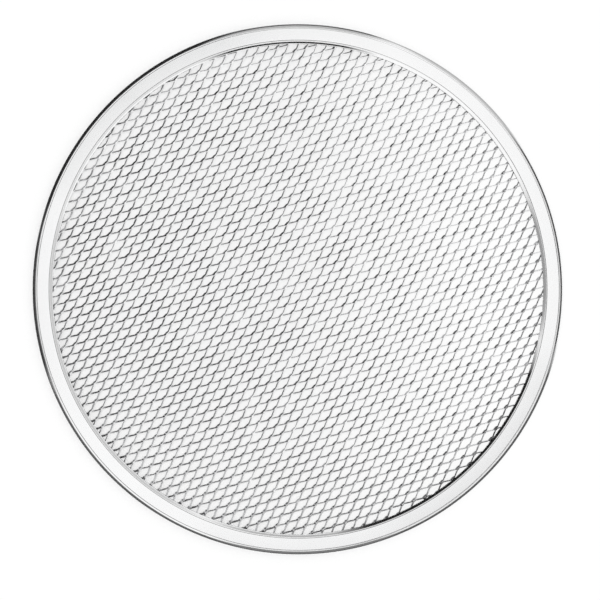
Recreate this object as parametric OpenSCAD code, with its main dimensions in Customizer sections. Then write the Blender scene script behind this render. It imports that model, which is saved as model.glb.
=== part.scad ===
// Round pizza screen: a disc of expanded aluminium mesh, clamped in a folded aluminium rim.
// It lies flat with +Z up. The origin is the disc's centre, on the surface that the rim rests on.

/* [Screen] */
// Outer diameter of the rim
screen_d = 305; // [250:1:460]

/* [Rim] */
// Width of the rim seen from above, from its outer edge to its inner edge
rim_w = 11.4; // [9:0.1:15]
// Height of the rim, and of the whole screen
rim_h = 5; // [4.6:0.1:6]
// Thickness of the strip that the rim is folded from
rim_sheet = 0.8; // [0.5:0.1:1]
// Height of the straight wall round the rim's outer edge
edge_wall_h = 2.6; // [2.4:0.1:3]
// Distance from the outer edge to where each flange becomes flat
edge_run = 2.5; // [2.2:0.1:2.6]
// Outside radius of the bend that turns each flange's inner edge to the mesh
lip_bend_r = 2.4; // [1.8:0.1:2.6]
// Distance from the rim's outer edge to the middle of the crease that runs round each flange
crease_in = 2.8; // [2.6:0.1:4]
// Width of the crease
crease_w = 0.5; // [0.3:0.05:0.8]
// Depth of the crease
crease_depth = 0.15; // [0.05:0.05:0.3]

/* [Mesh] */
// Thickness of the mesh over its strands, which the rim's two lips close on
mesh_t = 1.9; // [1.8:0.1:3]
// Length of one diamond, from bond to bond along its long way
diamond_l = 12.5; // [9:0.1:20]
// Width of one diamond, across its short way
diamond_w = 5.4; // [4.5:0.1:9]
// Width of one strand seen from above
strand_w = 0.9; // [0.6:0.1:1.4]
// Thickness of the web that carries the strands
web_t = 0.4; // [0.2:0.1:0.6]
// Direction of the diamonds' long way, turned from +X
mesh_turn = 41; // [0:1:90]
// Room between the mesh's edge and the inside of the rim's fold
edge_room = 2; // [1:0.1:4]

/* [Openings] */
// Diamonds along each side of one opening
open_cells = 3; // [3:1:4]
// Closed diamonds between one opening and the next
closed_cells = 1; // [1:1:2]
// Web left beside the strands round an opening
open_margin = 0.2; // [0.1:0.05:0.5]

/* [Hidden] */
$fn = 96;
bend_fn = 32;

rim_colour = [0.86, 0.87, 0.88];
mesh_colour = [0.78, 0.79, 0.8];

// The rim is folded round its middle height: an outer edge, two flat flanges, and two lips
rim_r = screen_d / 2;
rim_inner_r = rim_r - rim_w;
half_h = rim_h / 2;
crease_r = rim_r - crease_in;
crease_round_r = (crease_w * crease_w / 4 + crease_depth * crease_depth) / (2 * crease_depth);

// The outer edge's two bends start flat at the flanges and end at the straight wall
edge_start_r = rim_r - edge_run;
edge_drop = (rim_h - edge_wall_h) / 2;
edge_bend_r = (edge_run * edge_run + edge_drop * edge_drop) / (2 * edge_drop);

// Each lip bends as far as the mesh, so its end is a flat face on the strands
lip_r = min(lip_bend_r, half_h);
lip_drop = (rim_h - mesh_t) / 2;
lip_turn = acos(1 - lip_drop / lip_r);
lip_centre_r = rim_inner_r + lip_r * sin(lip_turn);

// The mesh's edge lies loose in the fold
mesh_r = rim_r - rim_sheet - edge_room;
mesh_z = lip_drop;
strand_h = (mesh_t - web_t) / 2;

// Strands run from bond to bond, so they lean to both sides of the long way
strand_lean = atan2(diamond_w, diamond_l);
strand_pitch = diamond_l * sin(strand_lean);

// Openings repeat with a whole number of diamonds, and strands stand on the closed ones between
group_cells = open_cells + closed_cells;
group_pitch = group_cells * strand_pitch;
groups = ceil(mesh_r / group_pitch);
first_strand = open_cells * strand_pitch / 2;

// An opening is what the strands on its four sides leave free, less the margin
open_share = (open_cells * strand_pitch - strand_w - 2 * open_margin) / group_pitch;
open_l = group_cells * diamond_l;
open_w = group_cells * diamond_w;
open_half_l = open_share * open_l / 2;
open_half_w = open_share * open_w / 2;
open_field_r = rim_inner_r - open_margin;
open_rows = floor(2 * open_field_r / open_w);
open_columns = floor(open_field_r / open_l) + 1;

// Outline of the folded strip's section, or of its inside when it is inset by the strip's thickness
module strip_outline(inset) {
    intersection() {
        translate([edge_start_r, half_h - edge_bend_r])
            circle(r = edge_bend_r - inset, $fn = bend_fn);
        translate([edge_start_r, edge_bend_r - half_h])
            circle(r = edge_bend_r - inset, $fn = bend_fn);
        translate([lip_centre_r, inset - half_h])
            square([rim_r - inset - lip_centre_r, rim_h - 2 * inset]);
    }
    translate([lip_centre_r, inset - half_h])
        square([edge_start_r - lip_centre_r, rim_h - 2 * inset]);
    for (side = [-1, 1])
        translate([lip_centre_r, side * (half_h - lip_r)])
            circle(r = lip_r - inset, $fn = bend_fn);
}

// Section of the rim, open between its lips, with one crease in each flange
module rim_section() {
    difference() {
        strip_outline(0);
        strip_outline(rim_sheet);
        translate([0, -mesh_t / 2])
            square([edge_start_r, mesh_t]);
        for (side = [-1, 1])
            translate([crease_r, side * (half_h - crease_depth + crease_round_r)])
                circle(r = crease_round_r, $fn = bend_fn);
    }
}

module rim() {
    color(rim_colour)
        translate([0, 0, half_h])
            rotate_extrude()
                rim_section();
}

// The strands that lean one way, beside the rows of openings, cut to the mesh's round outline
module strand_family(lean) {
    intersection() {
        circle(r = mesh_r);
        rotate(mesh_turn + lean)
            for (group = [-groups : groups], strand = [0 : closed_cells])
                translate([-mesh_r, group * group_pitch + first_strand + strand * strand_pitch - strand_w / 2])
                    square([2 * mesh_r, strand_w]);
    }
}

// Openings in staggered rows, cut off at the rim
module openings() {
    intersection() {
        circle(r = open_field_r);
        rotate(mesh_turn)
            for (row = [-open_rows : open_rows], column = [-open_columns : open_columns]) {
                x = (column + (row % 2 == 0 ? 0 : 0.5)) * open_l;
                y = row * open_w / 2;
                if (norm([x, y]) < open_field_r)
                    translate([x, y])
                        polygon([[open_half_l, 0], [0, open_half_w], [-open_half_l, 0], [0, -open_half_w]]);
            }
    }
}

// Wall between the two layers of strands
module web() {
    linear_extrude(web_t)
        difference() {
            circle(r = mesh_r);
            openings();
        }
}

module mesh() {
    color(mesh_colour)
        translate([0, 0, mesh_z]) {
            linear_extrude(strand_h)
                strand_family(-strand_lean);
            translate([0, 0, strand_h])
                web();
            translate([0, 0, strand_h + web_t])
                linear_extrude(strand_h)
                    strand_family(strand_lean);
        }
}

rim();
mesh();
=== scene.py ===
import math

import bmesh
import bpy
import numpy as np
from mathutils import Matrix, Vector


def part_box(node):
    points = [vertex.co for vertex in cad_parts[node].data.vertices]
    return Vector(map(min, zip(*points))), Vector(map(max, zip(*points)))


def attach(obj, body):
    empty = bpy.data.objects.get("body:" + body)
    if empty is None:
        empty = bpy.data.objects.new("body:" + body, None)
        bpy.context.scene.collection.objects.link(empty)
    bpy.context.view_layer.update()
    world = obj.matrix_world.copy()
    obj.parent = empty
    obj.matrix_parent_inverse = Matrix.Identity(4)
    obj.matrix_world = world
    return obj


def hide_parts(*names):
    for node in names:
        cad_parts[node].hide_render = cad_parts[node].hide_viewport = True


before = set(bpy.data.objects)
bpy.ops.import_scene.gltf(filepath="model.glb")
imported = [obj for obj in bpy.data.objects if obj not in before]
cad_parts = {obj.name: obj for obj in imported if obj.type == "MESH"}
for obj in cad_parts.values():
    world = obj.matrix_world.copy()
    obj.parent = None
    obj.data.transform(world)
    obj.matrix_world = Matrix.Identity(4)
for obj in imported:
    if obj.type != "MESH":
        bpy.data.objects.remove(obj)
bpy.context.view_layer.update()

rimLow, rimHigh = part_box("rim")
meshLow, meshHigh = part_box("mesh")

mm = 0.001
seed = 41
allSmooth = 180     # no edge is sharp under this many degrees


def pieceFrom(name, points, faces, material, sharpOver):
    mesh = bpy.data.meshes.new(name)
    mesh.from_pydata([tuple(p) for p in points], [], [tuple(f) for f in faces])
    mesh.materials.append(material)
    mesh.polygons.foreach_set("use_smooth", [True] * len(mesh.polygons))
    mesh.set_sharp_from_angle(angle=math.radians(sharpOver))
    piece = bpy.data.objects.new(name, mesh)
    bpy.context.scene.collection.objects.link(piece)
    return piece


def newMaterial(name):
    material = bpy.data.materials.new(name)
    material.use_nodes = True
    material.node_tree.nodes.clear()
    return material, material.node_tree.nodes, material.node_tree.links


def addNode(nodes, kind, **settings):
    # a setting is a socket's value where a socket has that name, and else the node's own
    node = nodes.new(kind)
    for key, value in settings.items():
        if key in node.inputs:
            node.inputs[key].default_value = value
        else:
            setattr(node, key, value)
    return node


def ramp(nodes, links, source, low, high):
    # from one colour to another, over the middle of what a noise gives
    node = nodes.new("ShaderNodeValToRGB")
    for element, place, colour in zip(node.color_ramp.elements, (0.3, 0.7), (low, high)):
        element.position = place
        element.color = (*colour, 1)
    links.new(source, node.inputs["Fac"])
    return node.outputs["Color"]


def scaled(nodes, links, source, low, high):
    node = nodes.new("ShaderNodeMapRange")
    node.inputs["To Min"].default_value = low
    node.inputs["To Max"].default_value = high
    links.new(source, node.inputs["Value"])
    return node.outputs["Result"]


def noise(nodes, links, vector, scale, detail, roughness):
    node = addNode(nodes, "ShaderNodeTexNoise", Scale=scale, Detail=detail, Roughness=roughness)
    links.new(vector, node.inputs["Vector"])
    return node.outputs["Fac"]


def blend(nodes, links, kind, share, first, second):
    # the mix node keeps its colour sockets behind its number sockets
    node = addNode(nodes, "ShaderNodeMix", data_type=kind)
    low, high, result = (6, 7, 2) if kind == "RGBA" else (2, 3, 0)
    links.new(share, node.inputs[0])
    links.new(first, node.inputs[low])
    links.new(second, node.inputs[high])
    return node.outputs[result]


rimStrip = {
    "sides": 720,               # steps round the ring
    "width": 11.75 * mm,        # outer edge to inner edge, seen from above
    "sheet": 0.8 * mm,          # thickness of the folded strip
    "edgeRun": 2.5 * mm,        # outer edge to where the flanges become flat
    "edgeWall": 2.6 * mm,       # height of the straight wall round the edge
    "lipBend": 3.6 * mm,        # outside radius of the turned-in lip
    "lipTurn": 40,              # how far it bends before it drops to the mesh, in degrees
    "creaseIn": 2.8 * mm,       # outer edge to the middle of the crease
    "creaseHalf": 0.25 * mm,
    "creaseDeep": 0.15 * mm,
    "lipLineIn": 9.75 * mm,     # the faint pressed line beside the lip's bend
    "lipLineHalf": 0.17 * mm,
    "lipLineDeep": 0.11 * mm,
    "lineSteps": (-1, -0.5, 0, 0.5, 1),     # a pressed line's points, in halves of its width
    "edgeSteps": 16,
    "lipSteps": 9,
    "insideEdgeSteps": 8,
    "insideLipSteps": 5,
    "sharpOver": 33,            # degrees between faces from which an edge shows as sharp
    # the satin finish, and painted shade along the pressed line beside the lip
    "drawn": (4200.0, 3.0, 0.6),    # marks round the ring: scale, detail, roughness of the noise
    "cloud": (38.0, 4.0, 0.55),     # slow changes along and across the strip
    "grain": (1500.0, 2.0, 0.5),
    "greys": ((0.93, 0.932, 0.936), (0.985, 0.986, 0.988)),
    # painted shade: a darker grey along the pressed line beside the lip, standing for the shade in
    # it
    "lineShadeGreys": ((0.26, 0.26, 0.26), (0.42, 0.42, 0.42)),
    "lineShadeReach": 1.3,            # halves of the line's width that the painted shade fades over
    "cloudShare": 0.5,              # of cloud against drawn marks, in grey and roughness
    "rough": (0.10, 0.19),
    "stretch": 0.6,                 # how much the marks stretch a highlight across them
    "stretchTurn": 0.25,            # a quarter turn, from round the ring to across it
    "drawnBump": (0.10, 0.00004),   # strength and distance
    "grainBump": (0.06, 0.00003),
}


def rimSection(strip, outerR, height, meshHalf):
    # upper half, from the lip's end outwards over the top to the middle of the edge
    fold = height / 2
    run, sheet, bend = strip["edgeRun"], strip["sheet"], strip["lipBend"]
    fall = (height - strip["edgeWall"]) / 2
    edgeBend = (run * run + fall * fall) / (2 * fall)
    edgeStart = outerR - run
    turn = math.radians(strip["lipTurn"])
    lipCentre = outerR - strip["width"] + bend * math.sin(turn)
    pressed = [(outerR - strip["lipLineIn"], strip["lipLineHalf"], strip["lipLineDeep"]),
               (outerR - strip["creaseIn"], strip["creaseHalf"], strip["creaseDeep"])]
    steps = strip["lipSteps"]
    radii = [lipCentre - bend * math.sin(turn * i / steps) for i in range(steps + 1)]
    for line, half, deep in pressed:
        radii += [line + step * half for step in strip["lineSteps"]]
    top = [(outerR - strip["width"], meshHalf)]
    for r in sorted(radii):
        fromFlat = max(0, lipCentre - r)
        z = fold - bend + math.sqrt(bend ** 2 - fromFlat ** 2)
        for line, half, deep in pressed:
            z -= deep * max(0, 1 - ((r - line) / half) ** 2)
        top.append((r, z))
    steps = strip["edgeSteps"]
    for i in range(steps + 1):
        a = math.asin(run / edgeBend) * i / steps
        top.append((edgeStart + edgeBend * math.sin(a), fold - edgeBend * (1 - math.cos(a))))
    top.append((outerR, 0.0))

    # the strip's inside, back from the edge to the lip's end
    inner = fold - sheet
    innerEdge, innerLip = edgeBend - sheet, bend - sheet
    inside = [(outerR - sheet, 0.0)]
    steps = strip["insideEdgeSteps"]
    for i in range(steps + 1):
        a = math.asin((run - sheet) / innerEdge) * (1 - i / steps)
        inside.append((edgeStart + innerEdge * math.sin(a), inner - innerEdge * (1 - math.cos(a))))
    steps = strip["insideLipSteps"]
    for i in range(steps + 1):
        a = turn * i / steps
        inside.append((lipCentre - innerLip * math.sin(a), inner - innerLip * (1 - math.cos(a))))
    inside.append((inside[-1][0], meshHalf))

    lower = [(r, -z) for r, z in reversed(top[:-1])]
    lowerInside = [(r, -z) for r, z in reversed(inside[1:])]
    return [(r, z + fold) for r, z in top + lower + lowerInside + inside]


def lathe(section, sides):
    count = len(section)
    points = []
    for s in range(sides):
        a = 2 * math.pi * s / sides
        points += [(r * math.cos(a), r * math.sin(a), z) for r, z in section]
    faces = []
    for s in range(sides):
        here, there = s * count, (s + 1) % sides * count
        for i in range(count):
            j = (i + 1) % count
            faces.append((here + i, here + j, there + j, there + i))
    return points, faces


def satinAluminium(strip):
    material, nodes, links = newMaterial("satinAluminium")
    out = addNode(nodes, "ShaderNodeOutputMaterial")
    shader = addNode(nodes, "ShaderNodeBsdfPrincipled", Metallic=1.0, Anisotropic=strip["stretch"])
    shader.inputs["Anisotropic Rotation"].default_value = strip["stretchTurn"]
    place = addNode(nodes, "ShaderNodeTexCoord").outputs["Object"]
    split = addNode(nodes, "ShaderNodeSeparateXYZ")
    links.new(place, split.inputs[0])
    # radius and height only, so every mark runs round the ring
    radius = addNode(nodes, "ShaderNodeVectorMath", operation="LENGTH")
    flat = addNode(nodes, "ShaderNodeCombineXYZ")
    links.new(split.outputs["X"], flat.inputs["X"])
    links.new(split.outputs["Y"], flat.inputs["Y"])
    links.new(flat.outputs[0], radius.inputs[0])
    ringPlace = addNode(nodes, "ShaderNodeCombineXYZ")
    links.new(radius.outputs["Value"], ringPlace.inputs["X"])
    links.new(split.outputs["Z"], ringPlace.inputs["Y"])
    drawn = noise(nodes, links, ringPlace.outputs[0], *strip["drawn"])
    cloud = noise(nodes, links, place, *strip["cloud"])
    grain = noise(nodes, links, place, *strip["grain"])
    mixed = addNode(nodes, "ShaderNodeMix", data_type="FLOAT")
    mixed.inputs[0].default_value = strip["cloudShare"]
    links.new(drawn, mixed.inputs[2])
    links.new(cloud, mixed.inputs[3])
    plainGrey = ramp(nodes, links, mixed.outputs[0], *strip["greys"])
    # painted shade keeps to the pressed line beside the lip: a darker grey there stands for the
    # shade in that line
    fromLine = addNode(nodes, "ShaderNodeMath", operation="SUBTRACT")
    fromLine.inputs[1].default_value = rimHigh.x - strip["lipLineIn"]
    links.new(radius.outputs["Value"], fromLine.inputs[0])
    away = addNode(nodes, "ShaderNodeMath", operation="ABSOLUTE")
    links.new(fromLine.outputs[0], away.inputs[0])
    lineShade = nodes.new("ShaderNodeMapRange")
    lineShade.interpolation_type = "SMOOTHSTEP"
    lineShade.inputs["From Max"].default_value = strip["lipLineHalf"] * strip["lineShadeReach"]
    lineShade.inputs["To Min"].default_value = 1.0
    lineShade.inputs["To Max"].default_value = 0.0
    links.new(away.outputs[0], lineShade.inputs["Value"])
    lineShadeGrey = ramp(nodes, links, grain, *strip["lineShadeGreys"])
    lineShaded = blend(nodes, links, "RGBA", lineShade.outputs["Result"], plainGrey, lineShadeGrey)
    links.new(lineShaded, shader.inputs["Base Color"])
    rough = scaled(nodes, links, mixed.outputs[0], *strip["rough"])
    links.new(rough, shader.inputs["Roughness"])
    strength, distance = strip["drawnBump"]
    bump = addNode(nodes, "ShaderNodeBump", Strength=strength, Distance=distance)
    links.new(drawn, bump.inputs["Height"])
    strength, distance = strip["grainBump"]
    bumpFine = addNode(nodes, "ShaderNodeBump", Strength=strength, Distance=distance)
    links.new(grain, bumpFine.inputs["Height"])
    links.new(bump.outputs[0], bumpFine.inputs["Normal"])
    links.new(bumpFine.outputs[0], shader.inputs["Normal"])
    tangent = addNode(nodes, "ShaderNodeTangent", direction_type="RADIAL", axis="Z")
    links.new(tangent.outputs[0], shader.inputs["Tangent"])
    links.new(shader.outputs[0], out.inputs["Surface"])
    return material


def makeRim():
    # the construction's ring is slightly faceted, and the round one stays inside it
    outerR = min(rimHigh.x, rimHigh.y, -rimLow.x, -rimLow.y)
    meshHalf = (meshHigh.z - meshLow.z) / 2
    section = rimSection(rimStrip, outerR, rimHigh.z - rimLow.z, meshHalf)
    points, faces = lathe(section, rimStrip["sides"])
    material = satinAluminium(rimStrip)
    piece = pieceFrom("foldedRim", points, faces, material, rimStrip["sharpOver"])
    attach(piece, "root")
    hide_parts("rim")
    print("rim made,", len(section), "points in its section")
    return piece


expandedMesh = {
    "longWay": 12.49 * mm,      # bond to bond along the diamonds
    "shortWay": 5.388 * mm,     # bond to bond across them
    "turn": 40.99,              # the long way, from +X
    "origin": (2.69 * mm, -1.10 * mm),
    "faceWide": 0.50 * mm,      # a strand's sheet face, seen from above
    "faceRise": 0.40 * mm,      # and how far it climbs
    "edgeWide": 0.92 * mm,      # its sheared edge at a bond, seen from above
    "edgeDrop": 0.76 * mm,      # and how far it drops
    "edgeThin": 0.53,           # share of the edge that is left beside a bond
    "edgeAbove": 0.78,          # and where the strand reaches the next row
    "thinAt": 0.135,            # where it is thinnest, in long ways from the bond
    "rowShare": 0.16,           # this much wider between bonds on even rows, narrower on odd ones
    "over": 140 * mm,           # the distance from the middle that the changes over the sheet go by
    "tipAcross": -5.0,          # how far the strands have tipped there, at the right, in degrees
    "shareAcross": -0.40,       # and how much is added to their edges' share between bonds
    "tipJitter": 2.6,           # each bond's own tip, in degrees
    "bondHalf": 0.024,          # half the joint of two strands, in long ways
    "flatHalf": 0.06,           # half of what stays level round it
    "ease": 0.03,               # the rounded run from a bond into a strand
    "edgeLeg": 1.3,             # the edge is widest at a bond's left end
    "legShift": -0.30 * mm,     # which also lies this much farther back
    "legNear": 0.35,            # share of that shift at the bond itself
    "legPast": 0.1,             # and past it
    "edgeR": 148.4 * mm,        # radius of the circle that cuts the strands, hidden by the rim
    "wavy": 0.05 * mm,          # how far the sheet rises and falls
    "waves": ((47, 1), (39, 2)),    # radians a metre and start, along X and along Y
    # how the sheet strays from a perfect lattice, in mm: 1, x, y, xx, xy, yy
    "driftX": (-0.024, 0.459, -0.065, -0.079, -0.713, 0.184),
    "driftY": (0.028, -0.064, -0.451, 0.476, -0.204, -0.590),
    "weldWithin": 0.002 * mm,
    "sharpOver": 40,
    # the mill finish, with painted shade on the sheared edges
    "cloud": (30.0, 3.0, 0.5),      # scale, detail and roughness of the noise
    "grain": (2600.0, 3.0, 0.6),
    "faceGreys": ((0.95, 0.952, 0.956), (0.985, 0.986, 0.988)),
    # the sheared edges' grey: partly the torn metal's own duller tone, partly painted shade that
    # darkens them
    "edgeGreysAndShade": ((0.60, 0.60, 0.61), (0.80, 0.802, 0.81)),
    "faceRough": (0.22, 0.38),
    "edgeRough": (0.18, 0.34),
    "grainBump": (0.12, 0.00004),   # strength and distance
}

# the stations of a strand that a bond lies between, for the low and the high bond
lowBond = (2, 3)
highBond = (7, 8)


def strandStations(shape):
    # along one long way: the place, how far the strand has swung to the next bond row,
    # its share of the full edge, and its share of the shift at a bond's left end
    half, flat, ease = shape["bondHalf"], shape["flatHalf"], shape["ease"]
    thinAt, thin, above = shape["thinAt"], shape["edgeThin"], shape["edgeAbove"]
    slope = 1 / (0.5 - half - thinAt - ease / 2)
    near = (0.5 - half - ease, 1 - slope * ease / 2)
    leg, legNear, legPast = shape["edgeLeg"], shape["legNear"], shape["legPast"]
    low = [(-thinAt, 0.0, thin, 0), (-flat, 0.0, leg, 1), (-half, 0.0, 1, legNear),
           (half, 0.0, 1, 0), (flat, 0.0, 1, legPast), (thinAt, 0.0, thin, 0)]
    high = [(*near, above, legNear), (0.5 - half, 1.0, 1, legNear),
            (0.5 + half, 1.0, 1, 0), (1 - near[0], near[1], above, 0)]
    return low + high


def layMesh(shape, across, along, height):
    # from the sheet's own long and short way to the ring's axes, with the sheet's drift
    turn = math.radians(shape["turn"])
    x = shape["origin"][0] + along * math.cos(turn) - across * math.sin(turn)
    y = shape["origin"][1] + along * math.sin(turn) + across * math.cos(turn)
    a, b = x / shape["over"], y / shape["over"]
    terms = np.stack([np.ones_like(a), a, b, a * a, a * b, b * b])
    x = x + np.tensordot(np.array(shape["driftX"]) * mm, terms, 1)
    y = y + np.tensordot(np.array(shape["driftY"]) * mm, terms, 1)
    (overX, startX), (overY, startY) = shape["waves"]
    z = height + shape["wavy"] * (np.sin(x * overX + startX) * np.sin(y * overY + startY))
    return np.stack([x, y, z], -1)


def tipped(across, up, angle):
    cos, sin = math.cos(angle), math.sin(angle)
    return across * cos - up * sin, across * sin + up * cos


def strandMesh(shape, middle):
    length, rowStep = shape["longWay"], shape["shortWay"] / 2
    # a few rows and columns past the edge, where nothing is kept
    rows = int(shape["edgeR"] / rowStep) + 2
    columns = int(shape["edgeR"] / length) + 3
    stations = strandStations(shape)
    rng = np.random.default_rng(seed)
    jitter = rng.normal(0, shape["tipJitter"], (2 * rows + 3, 2 * columns + 1))
    faceWide, faceRise = shape["faceWide"] / 2, shape["faceRise"] / 2
    edgeWide, edgeDrop = shape["edgeWide"] / 2, shape["edgeDrop"] / 2
    turn = math.radians(shape["turn"])

    def tipAt(bondRow, column):
        # a slow change over the sheet, and a little of each bond's own
        u = (column + 0.5 * (bondRow % 2)) * length
        x = u * math.cos(turn) - bondRow * rowStep * math.sin(turn)
        own = jitter[bondRow + rows, column + columns]
        return math.radians(shape["tipAcross"] * x / shape["over"] + own)

    along, across, height = [], [], []
    runs = {}
    for row in range(-rows, rows + 1):
        shift = 0.5 * (row % 2)
        rowShare = 1 + shape["rowShare"] * (-1 if row % 2 else 1)
        run = []
        for period in range(-columns, columns + 1):
            for number, (q, swing, full, leg) in enumerate(stations):
                u = (period + shift + q) * length
                v = (row + 0.5) * rowStep
                # the offset isn't turned with the sheet here, so the circle lies 2 mm off
                # the rim's middle, and every strand still ends out of sight in the rim
                if math.hypot(u + shape["origin"][0], v + shape["origin"][1]) > shape["edgeR"]:
                    continue
                # the low bond beside this station, and the high bond
                lowTip = tipAt(row, period if q < 0.5 else period + 1)
                highTip = tipAt(row + 1, period + (1 if row % 2 else 0))
                tip = (1 - swing) * lowTip + swing * highTip
                lowReach = tipped(faceWide, faceRise, lowTip)
                highReach = tipped(faceWide, faceRise, highTip)
                lowV, highV = row * rowStep + lowReach[0], (row + 1) * rowStep - highReach[0]
                centreV = (1 - swing) * lowV + swing * highV + shape["legShift"] * leg
                centreZ = (1 - swing) * lowReach[1] - swing * highReach[1]
                if full < 1:
                    x = u * math.cos(turn) - v * math.sin(turn)
                    full *= rowShare * (1 + shape["shareAcross"] * x / shape["over"])
                wide = tipped(faceWide, faceRise, tip)
                deep = tipped(-edgeWide * full, edgeDrop * full, tip)
                run.append((period, number, len(along)))
                for a, b in ((-1, 1), (1, 1), (1, -1), (-1, -1)):
                    along.append(u)
                    across.append(centreV + a * wide[0] + b * deep[0])
                    height.append(middle + centreZ + a * wide[1] + b * deep[1])
        runs[row] = run

    faces, sheared = strandFaces(runs)
    points = layMesh(shape, np.array(across), np.array(along), np.array(height))
    return points, faces, sheared


def strandFaces(runs):
    # four sides between each two sections, but none where two strands are one at a bond
    faces, sheared = [], []
    present = {row: {(period, number) for period, number, _ in run} for row, run in runs.items()}

    def bonded(row, period, bond):
        return all((period, number) in present.get(row, ()) for number in bond)

    for row, run in runs.items():
        odd = row % 2
        for (period, number, here), (_, _, there) in zip(run, run[1:]):
            skipped = None
            if number == lowBond[0] and bonded(row - 1, period - (1 - odd), highBond):
                skipped = 3
            if number == highBond[0] and bonded(row + 1, period + odd, lowBond):
                skipped = 1
            for i in range(4):
                if i != skipped:
                    j = (i + 1) % 4
                    faces.append((here + i, here + j, there + j, there + i))
                    sheared.append(float(i % 2))
        if run:
            a, b = run[0][2], run[-1][2]
            faces += [(a + 3, a + 2, a + 1, a), (b, b + 1, b + 2, b + 3)]
            sheared += [1.0, 1.0]
    return faces, sheared


def weldStrands(piece, shape):
    work = bmesh.new()
    work.from_mesh(piece.data)
    bmesh.ops.remove_doubles(work, verts=work.verts, dist=shape["weldWithin"])
    bmesh.ops.recalc_face_normals(work, faces=work.faces)
    work.to_mesh(piece.data)
    work.free()
    piece.data.set_sharp_from_angle(angle=math.radians(shape["sharpOver"]))


def millAluminium(shape):
    material, nodes, links = newMaterial("millAluminium")
    out = addNode(nodes, "ShaderNodeOutputMaterial")
    shader = addNode(nodes, "ShaderNodeBsdfPrincipled", Metallic=1.0)
    place = addNode(nodes, "ShaderNodeTexCoord").outputs["Object"]
    edge = addNode(nodes, "ShaderNodeAttribute", attribute_name="shearedEdge").outputs["Fac"]
    cloud = noise(nodes, links, place, *shape["cloud"])
    grain = noise(nodes, links, place, *shape["grain"])
    sheet = ramp(nodes, links, cloud, *shape["faceGreys"])
    # the sheared edges painted darker: partly their own tone, partly painted shade
    tornGreyAndShade = ramp(nodes, links, grain, *shape["edgeGreysAndShade"])
    links.new(blend(nodes, links, "RGBA", edge, sheet, tornGreyAndShade), shader.inputs["Base Color"])
    sheetRough = scaled(nodes, links, cloud, *shape["faceRough"])
    tornRough = scaled(nodes, links, grain, *shape["edgeRough"])
    links.new(blend(nodes, links, "FLOAT", edge, sheetRough, tornRough), shader.inputs["Roughness"])
    strength, distance = shape["grainBump"]
    bump = addNode(nodes, "ShaderNodeBump", Strength=strength, Distance=distance)
    links.new(grain, bump.inputs["Height"])
    links.new(bump.outputs[0], shader.inputs["Normal"])
    links.new(shader.outputs[0], out.inputs["Surface"])
    return material


def makeMesh():
    middle = (meshLow.z + meshHigh.z) / 2
    points, faces, sheared = strandMesh(expandedMesh, middle)
    material = millAluminium(expandedMesh)
    piece = pieceFrom("expandedMesh", points, faces, material, expandedMesh["sharpOver"])
    mark = piece.data.attributes.new("shearedEdge", "FLOAT", "FACE")
    mark.data.foreach_set("value", sheared)
    weldStrands(piece, expandedMesh)
    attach(piece, "root")
    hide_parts("mesh")
    print("mesh made,", len(piece.data.polygons), "faces")
    return piece


studio = {
    "floorSize": 12.0,
    "floorGrey": 0.97,
    "floorGlow": 1.02,          # the floor's own white, as the camera and metal see it
    "floorLift": (0.46, 0.84),  # share of that white up to the middle, and from liftOver rightwards: painted light, making the floor lighter at the right and the mesh's shadow on it fainter there
    "liftOver": 0.12,
    "worldLight": 0.90,
    "softboxes": [
        # name, place, aimed at, width, height, radiance
        ("overheadSoftbox", (0.0, 0.0, 2.1), (0, 0, 0), 1.8, 1.8, 0.8),
    ],
    "cards": [
        # name, first and last azimuth, distance, lowest, highest, grey
        ("upperLeftCard", 98, 168, 0.355, 0.0, 0.29, 0.012),
        ("leftCard", 162, 240, 1.1, 0.0, 0.55, 0.012),
        ("leftHaze", 166, 204, 0.70, 0.30, 3.4, 0.33),
        ("rightHaze", 286, 348, 0.285, 0.4, 1.9, 0.76),
        ("rightSoft", 340, 428, 0.70, 0.40, 3.2, 0.60),
        ("farHaze", 68, 112, 0.40, 0.28, 1.6, 0.45),
        ("overLeftHaze", 96, 158, 0.40, 1.2, 3.9, 0.76),
        ("overLowerHaze", 244, 324, 0.40, 1.2, 3.9, 0.87),
        # small strips beside the rim's outer edge and over the mesh beside its lip
        ("upperEdgeStrip", 104, 168, 0.1535, 0.0042, 0.0175, 0.02),
        ("lowerEdgeStrip", 251, 294, 0.1535, 0.0058, 0.0180, 0.20),
        ("lowerLipStrip", 278, 348, 0.1385, 0.0051, 0.0142, 0.012),
        ("upperLipStrip", 71, 114, 0.1385, 0.0056, 0.0116, 0.012),
        ("edgeStrip", 196, 349, 0.1550, 0.0046, 0.0132, 0.10),
        ("leftEdgeStrip", 152, 204, 0.1552, 0.0056, 0.0155, 0.05),
        ("rightEdgeStrip", 341, 399, 0.1552, 0.0072, 0.0175, 0.05),
        ("farEdgeStrip", 31, 74, 0.1550, 0.0050, 0.0090, 0.45),
        ("backEdgeStrip", 66, 111, 0.1552, 0.0048, 0.0095, 0.10),
    ],
    "cardFade": 8.0,            # degrees over which a card's ends thin out
    "cardSolid": 0.7,           # share of its height under the thinning top
    "cardStep": 2,              # degrees from one upright to the next
    "sensor": 36.0,             # millimetres
    "viewWidth": 0.3443,        # width of the picture at the screen
    "lookFrom": (0.00115, -0.00617, 1.5),
    "sees": (0.01, 50),         # nearest and farthest
}


def seenRays(nodes, links):
    # 1 for what the camera, metal and glass see
    ray = addNode(nodes, "ShaderNodeLightPath")
    first = addNode(nodes, "ShaderNodeMath", operation="MAXIMUM")
    links.new(ray.outputs["Is Camera Ray"], first.inputs[0])
    links.new(ray.outputs["Is Glossy Ray"], first.inputs[1])
    second = addNode(nodes, "ShaderNodeMath", operation="MAXIMUM")
    links.new(first.outputs[0], second.inputs[0])
    links.new(ray.outputs["Is Transmission Ray"], second.inputs[1])
    return second.outputs[0]


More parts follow.
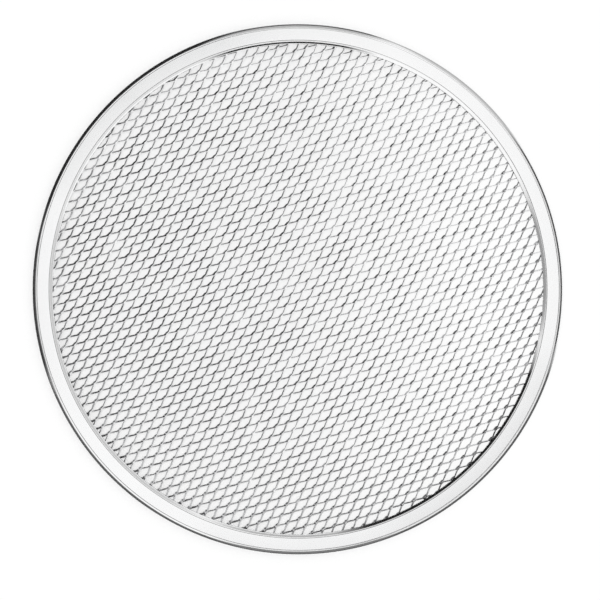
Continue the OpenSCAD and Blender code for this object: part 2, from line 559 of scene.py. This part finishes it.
def mixShaders(nodes, links, share, first, second):
    mix = addNode(nodes, "ShaderNodeMixShader")
    links.new(share, mix.inputs[0])
    links.new(first.outputs[0], mix.inputs[1])
    links.new(second.outputs[0], mix.inputs[2])
    return mix.outputs[0]


def makeWorld():
    world = bpy.data.worlds.new("studioWorld")
    bpy.context.scene.world = world
    world.use_nodes = True
    nodes, links = world.node_tree.nodes, world.node_tree.links
    nodes.clear()
    out = addNode(nodes, "ShaderNodeOutputWorld")
    white = (1, 1, 1, 1)
    seenSky = addNode(nodes, "ShaderNodeBackground", Color=white, Strength=1.0)
    litSky = addNode(nodes, "ShaderNodeBackground", Color=white, Strength=studio["worldLight"])
    sky = mixShaders(nodes, links, seenRays(nodes, links), litSky, seenSky)
    links.new(sky, out.inputs["Surface"])


def whiteFloor():
    material, nodes, links = newMaterial("whiteFloor")
    out = addNode(nodes, "ShaderNodeOutputMaterial")
    grey = studio["floorGrey"]
    diffuse = addNode(nodes, "ShaderNodeBsdfDiffuse", Color=(grey, grey, grey, 1))
    glow = addNode(nodes, "ShaderNodeEmission", Color=(1, 1, 1, 1), Strength=studio["floorGlow"])
    place = addNode(nodes, "ShaderNodeTexCoord")
    split = addNode(nodes, "ShaderNodeSeparateXYZ")
    links.new(place.outputs["Object"], split.inputs[0])
    # painted light: the floor's glow gets a larger share from the middle rightwards, so it is
    # lighter there than the lamps make it
    lift = addNode(nodes, "ShaderNodeMapRange")
    lift.inputs["From Max"].default_value = studio["liftOver"]
    lift.inputs["To Min"].default_value = studio["floorLift"][0]
    lift.inputs["To Max"].default_value = studio["floorLift"][1]
    links.new(split.outputs["X"], lift.inputs["Value"])
    share = addNode(nodes, "ShaderNodeMath", operation="MULTIPLY")
    links.new(seenRays(nodes, links), share.inputs[0])
    links.new(lift.outputs[0], share.inputs[1])
    surface = mixShaders(nodes, links, share.outputs[0], diffuse, glow)
    links.new(surface, out.inputs["Surface"])
    return material


def makeFloor():
    half = studio["floorSize"] / 2
    corners = [(-half, -half, 0), (half, -half, 0), (half, half, 0), (-half, half, 0)]
    floor = pieceFrom("floor", corners, [(0, 1, 2, 3)], whiteFloor(), allSmooth)


def darkCard(grey, oneSided):
    material, nodes, links = newMaterial("darkCard")
    out = addNode(nodes, "ShaderNodeOutputMaterial")
    card = addNode(nodes, "ShaderNodeEmission", Color=(grey, grey, grey, 1), Strength=1.0)
    clear = addNode(nodes, "ShaderNodeBsdfTransparent")
    solid = addNode(nodes, "ShaderNodeAttribute", attribute_name="solid").outputs["Fac"]
    if oneSided:
        side = addNode(nodes, "ShaderNodeNewGeometry")
        shown = addNode(nodes, "ShaderNodeMath", operation="SUBTRACT", use_clamp=True)
        links.new(solid, shown.inputs[0])
        links.new(side.outputs["Backfacing"], shown.inputs[1])
        solid = shown.outputs[0]
    links.new(mixShaders(nodes, links, solid, clear, card), out.inputs["Surface"])
    return material


def makeCards():
    # upright strips bent round the screen, thinning out at their ends and top
    fade = studio["cardFade"]
    for name, first, last, distance, low, high, grey in studio["cards"]:
        steps = round((last - first) / studio["cardStep"])
        middle = low + studio["cardSolid"] * (high - low)
        corners, solid = [], []
        for i in range(steps + 1):
            degrees = first + (last - first) * i / steps
            a = math.radians(degrees)
            x, y = math.cos(a) * distance, math.sin(a) * distance
            corners += [(x, y, low), (x, y, middle), (x, y, high)]
            end = min(1, (degrees - first) / fade, (last - degrees) / fade)
            solid += [end, end, 0.0]
        faces = []
        for a in range(0, 3 * steps, 3):
            faces += [(a, a + 3, a + 4, a + 1), (a + 1, a + 4, a + 5, a + 2)]
        # the strips over the mesh show their outer side only
        material = darkCard(grey, distance < rimHigh.x)
        card = pieceFrom(name, corners, faces, material, allSmooth)
        mark = card.data.attributes.new("solid", "FLOAT", "POINT")
        mark.data.foreach_set("value", solid)
        card.visible_camera = False
        card.visible_diffuse = False
        card.visible_shadow = False
        card.visible_transmission = False


def makeLights():
    for name, place, target, width, height, radiance in studio["softboxes"]:
        lamp = bpy.data.lights.new(name, "AREA")
        lamp.shape = "RECTANGLE"
        lamp.size, lamp.size_y = width, height
        lamp.energy = radiance * math.pi * width * height
        box = bpy.data.objects.new(name, lamp)
        box.location = place
        box.rotation_euler = (Vector(target) - Vector(place)).to_track_quat("-Z", "Y").to_euler()
        box.visible_glossy = False      # metal sees the white studio, not the lamp
        bpy.context.scene.collection.objects.link(box)


def makeCamera():
    data = bpy.data.cameras.new("camera")
    x, y, distance = studio["lookFrom"]
    data.sensor_width = studio["sensor"]
    data.lens = studio["sensor"] * distance / studio["viewWidth"]
    data.clip_start, data.clip_end = studio["sees"]
    camera = bpy.data.objects.new("camera", data)
    camera.location = (x, y, distance + (rimHigh.z + rimLow.z) / 2)
    bpy.context.scene.collection.objects.link(camera)
    bpy.context.scene.camera = camera


makeRim()
makeMesh()
makeWorld()
makeFloor()
makeCards()
makeLights()
makeCamera()
bpy.context.scene.view_settings.view_transform = "Standard"
print("studio set")
